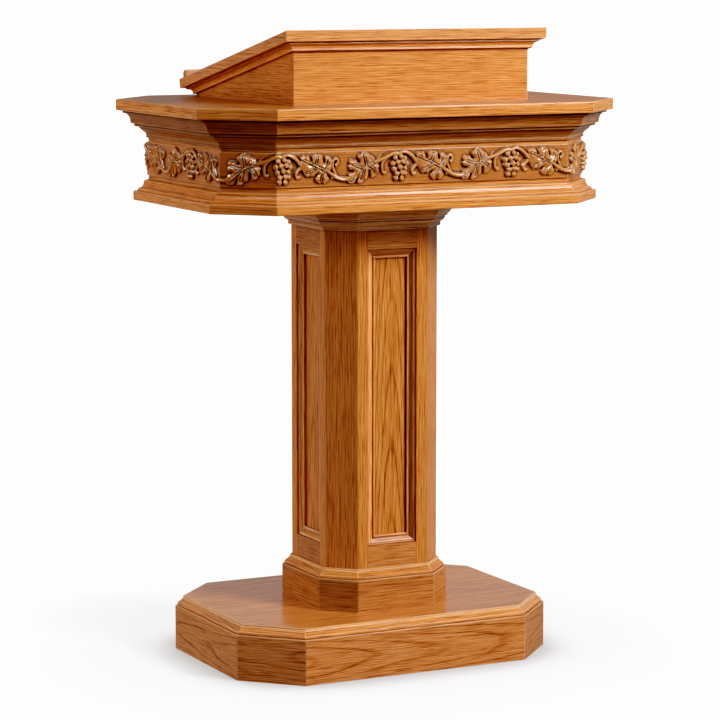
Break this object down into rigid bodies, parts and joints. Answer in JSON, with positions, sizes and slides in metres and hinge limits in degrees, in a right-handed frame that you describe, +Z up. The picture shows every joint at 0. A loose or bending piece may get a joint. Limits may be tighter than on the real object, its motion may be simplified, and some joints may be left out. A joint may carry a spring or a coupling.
{
  "type": "pedestal pulpit",
  "caption": "Octagonal oak pulpit: plinth, panelled column, desk with carved vine frieze and moulded cornice, and a slanted book rest with a stop at its low edge.",
  "frame": {"origin": "on the floor under the centre of the desk's top board, which is the centre of the bounding box's bottom face", "axes": "+Z up, -Y towards the hearers, +Y towards the reader, +X to the hearers' right as they face the pulpit; the halves mirror about X = 0"},
  "size_m": [0.821, 0.569, 1.143],
  "materials": {
    "oak": "satin varnish over honey-stained oak",
    "oak_panel": "satin varnish over honey-stained oak",
    "oak_moulding": "satin varnish over honey-stained oak",
    "oak_carving": "satin varnish over honey-stained oak",
    "inner_wood": "raw softwood",
    "steel": "zinc-plated"
  },
  "bodies": {
    "root": {"plinth_front_board": "oak", "plinth_back_board": "oak", "plinth_left_board": "oak", "plinth_right_board": "oak", "plinth_corner_boards": "oak", "base_board": "oak", "column_corner_boards": "oak", "front_stiles": "oak", "front_rails": "oak", "back_stiles": "oak", "back_rails": "oak", "left_stiles": "oak", "left_rails": "oak", "right_stiles": "oak", "right_rails": "oak", "skirt_boards": "oak", "skirt_corner_boards": "oak", "desk_floor": "oak", "casing_front": "oak", "casing_back": "oak", "casing_left": "oak", "casing_right": "oak", "casing_corner_boards": "oak", "top_board": "oak", "rest_front": "oak", "rest_sides": "oak", "rest_low_rail": "oak", "slanted_board": "oak", "book_stop": "oak", "front_panel": "oak_panel", "back_panel": "oak_panel", "left_panel": "oak_panel", "right_panel": "oak_panel", "front_panel_moulding": "oak_moulding", "back_panel_moulding": "oak_moulding", "left_panel_moulding": "oak_moulding", "right_panel_moulding": "oak_moulding", "skirt_cap": "oak_moulding", "crown_lower": "oak_moulding", "crown_upper": "oak_moulding", "foot_moulding": "oak_moulding", "lower_cornice": "oak_moulding", "upper_cornice": "oak_moulding", "rest_moulding": "oak_moulding", "vine_front": "oak_carving", "vine_back": "oak_carving", "vine_left": "oak_carving", "vine_right": "oak_carving", "vine_corners": "oak_carving", "plinth_glue_blocks": "inner_wood", "bearer": "inner_wood", "column_bottom_plate": "inner_wood", "column_top_plate": "inner_wood", "top_blocks": "inner_wood", "rest_cleats": "inner_wood", "tie_rod": "steel", "rod_nuts": "steel", "rod_washers": "steel", "wood_screws": "steel"}
  },
  "joints": []
}
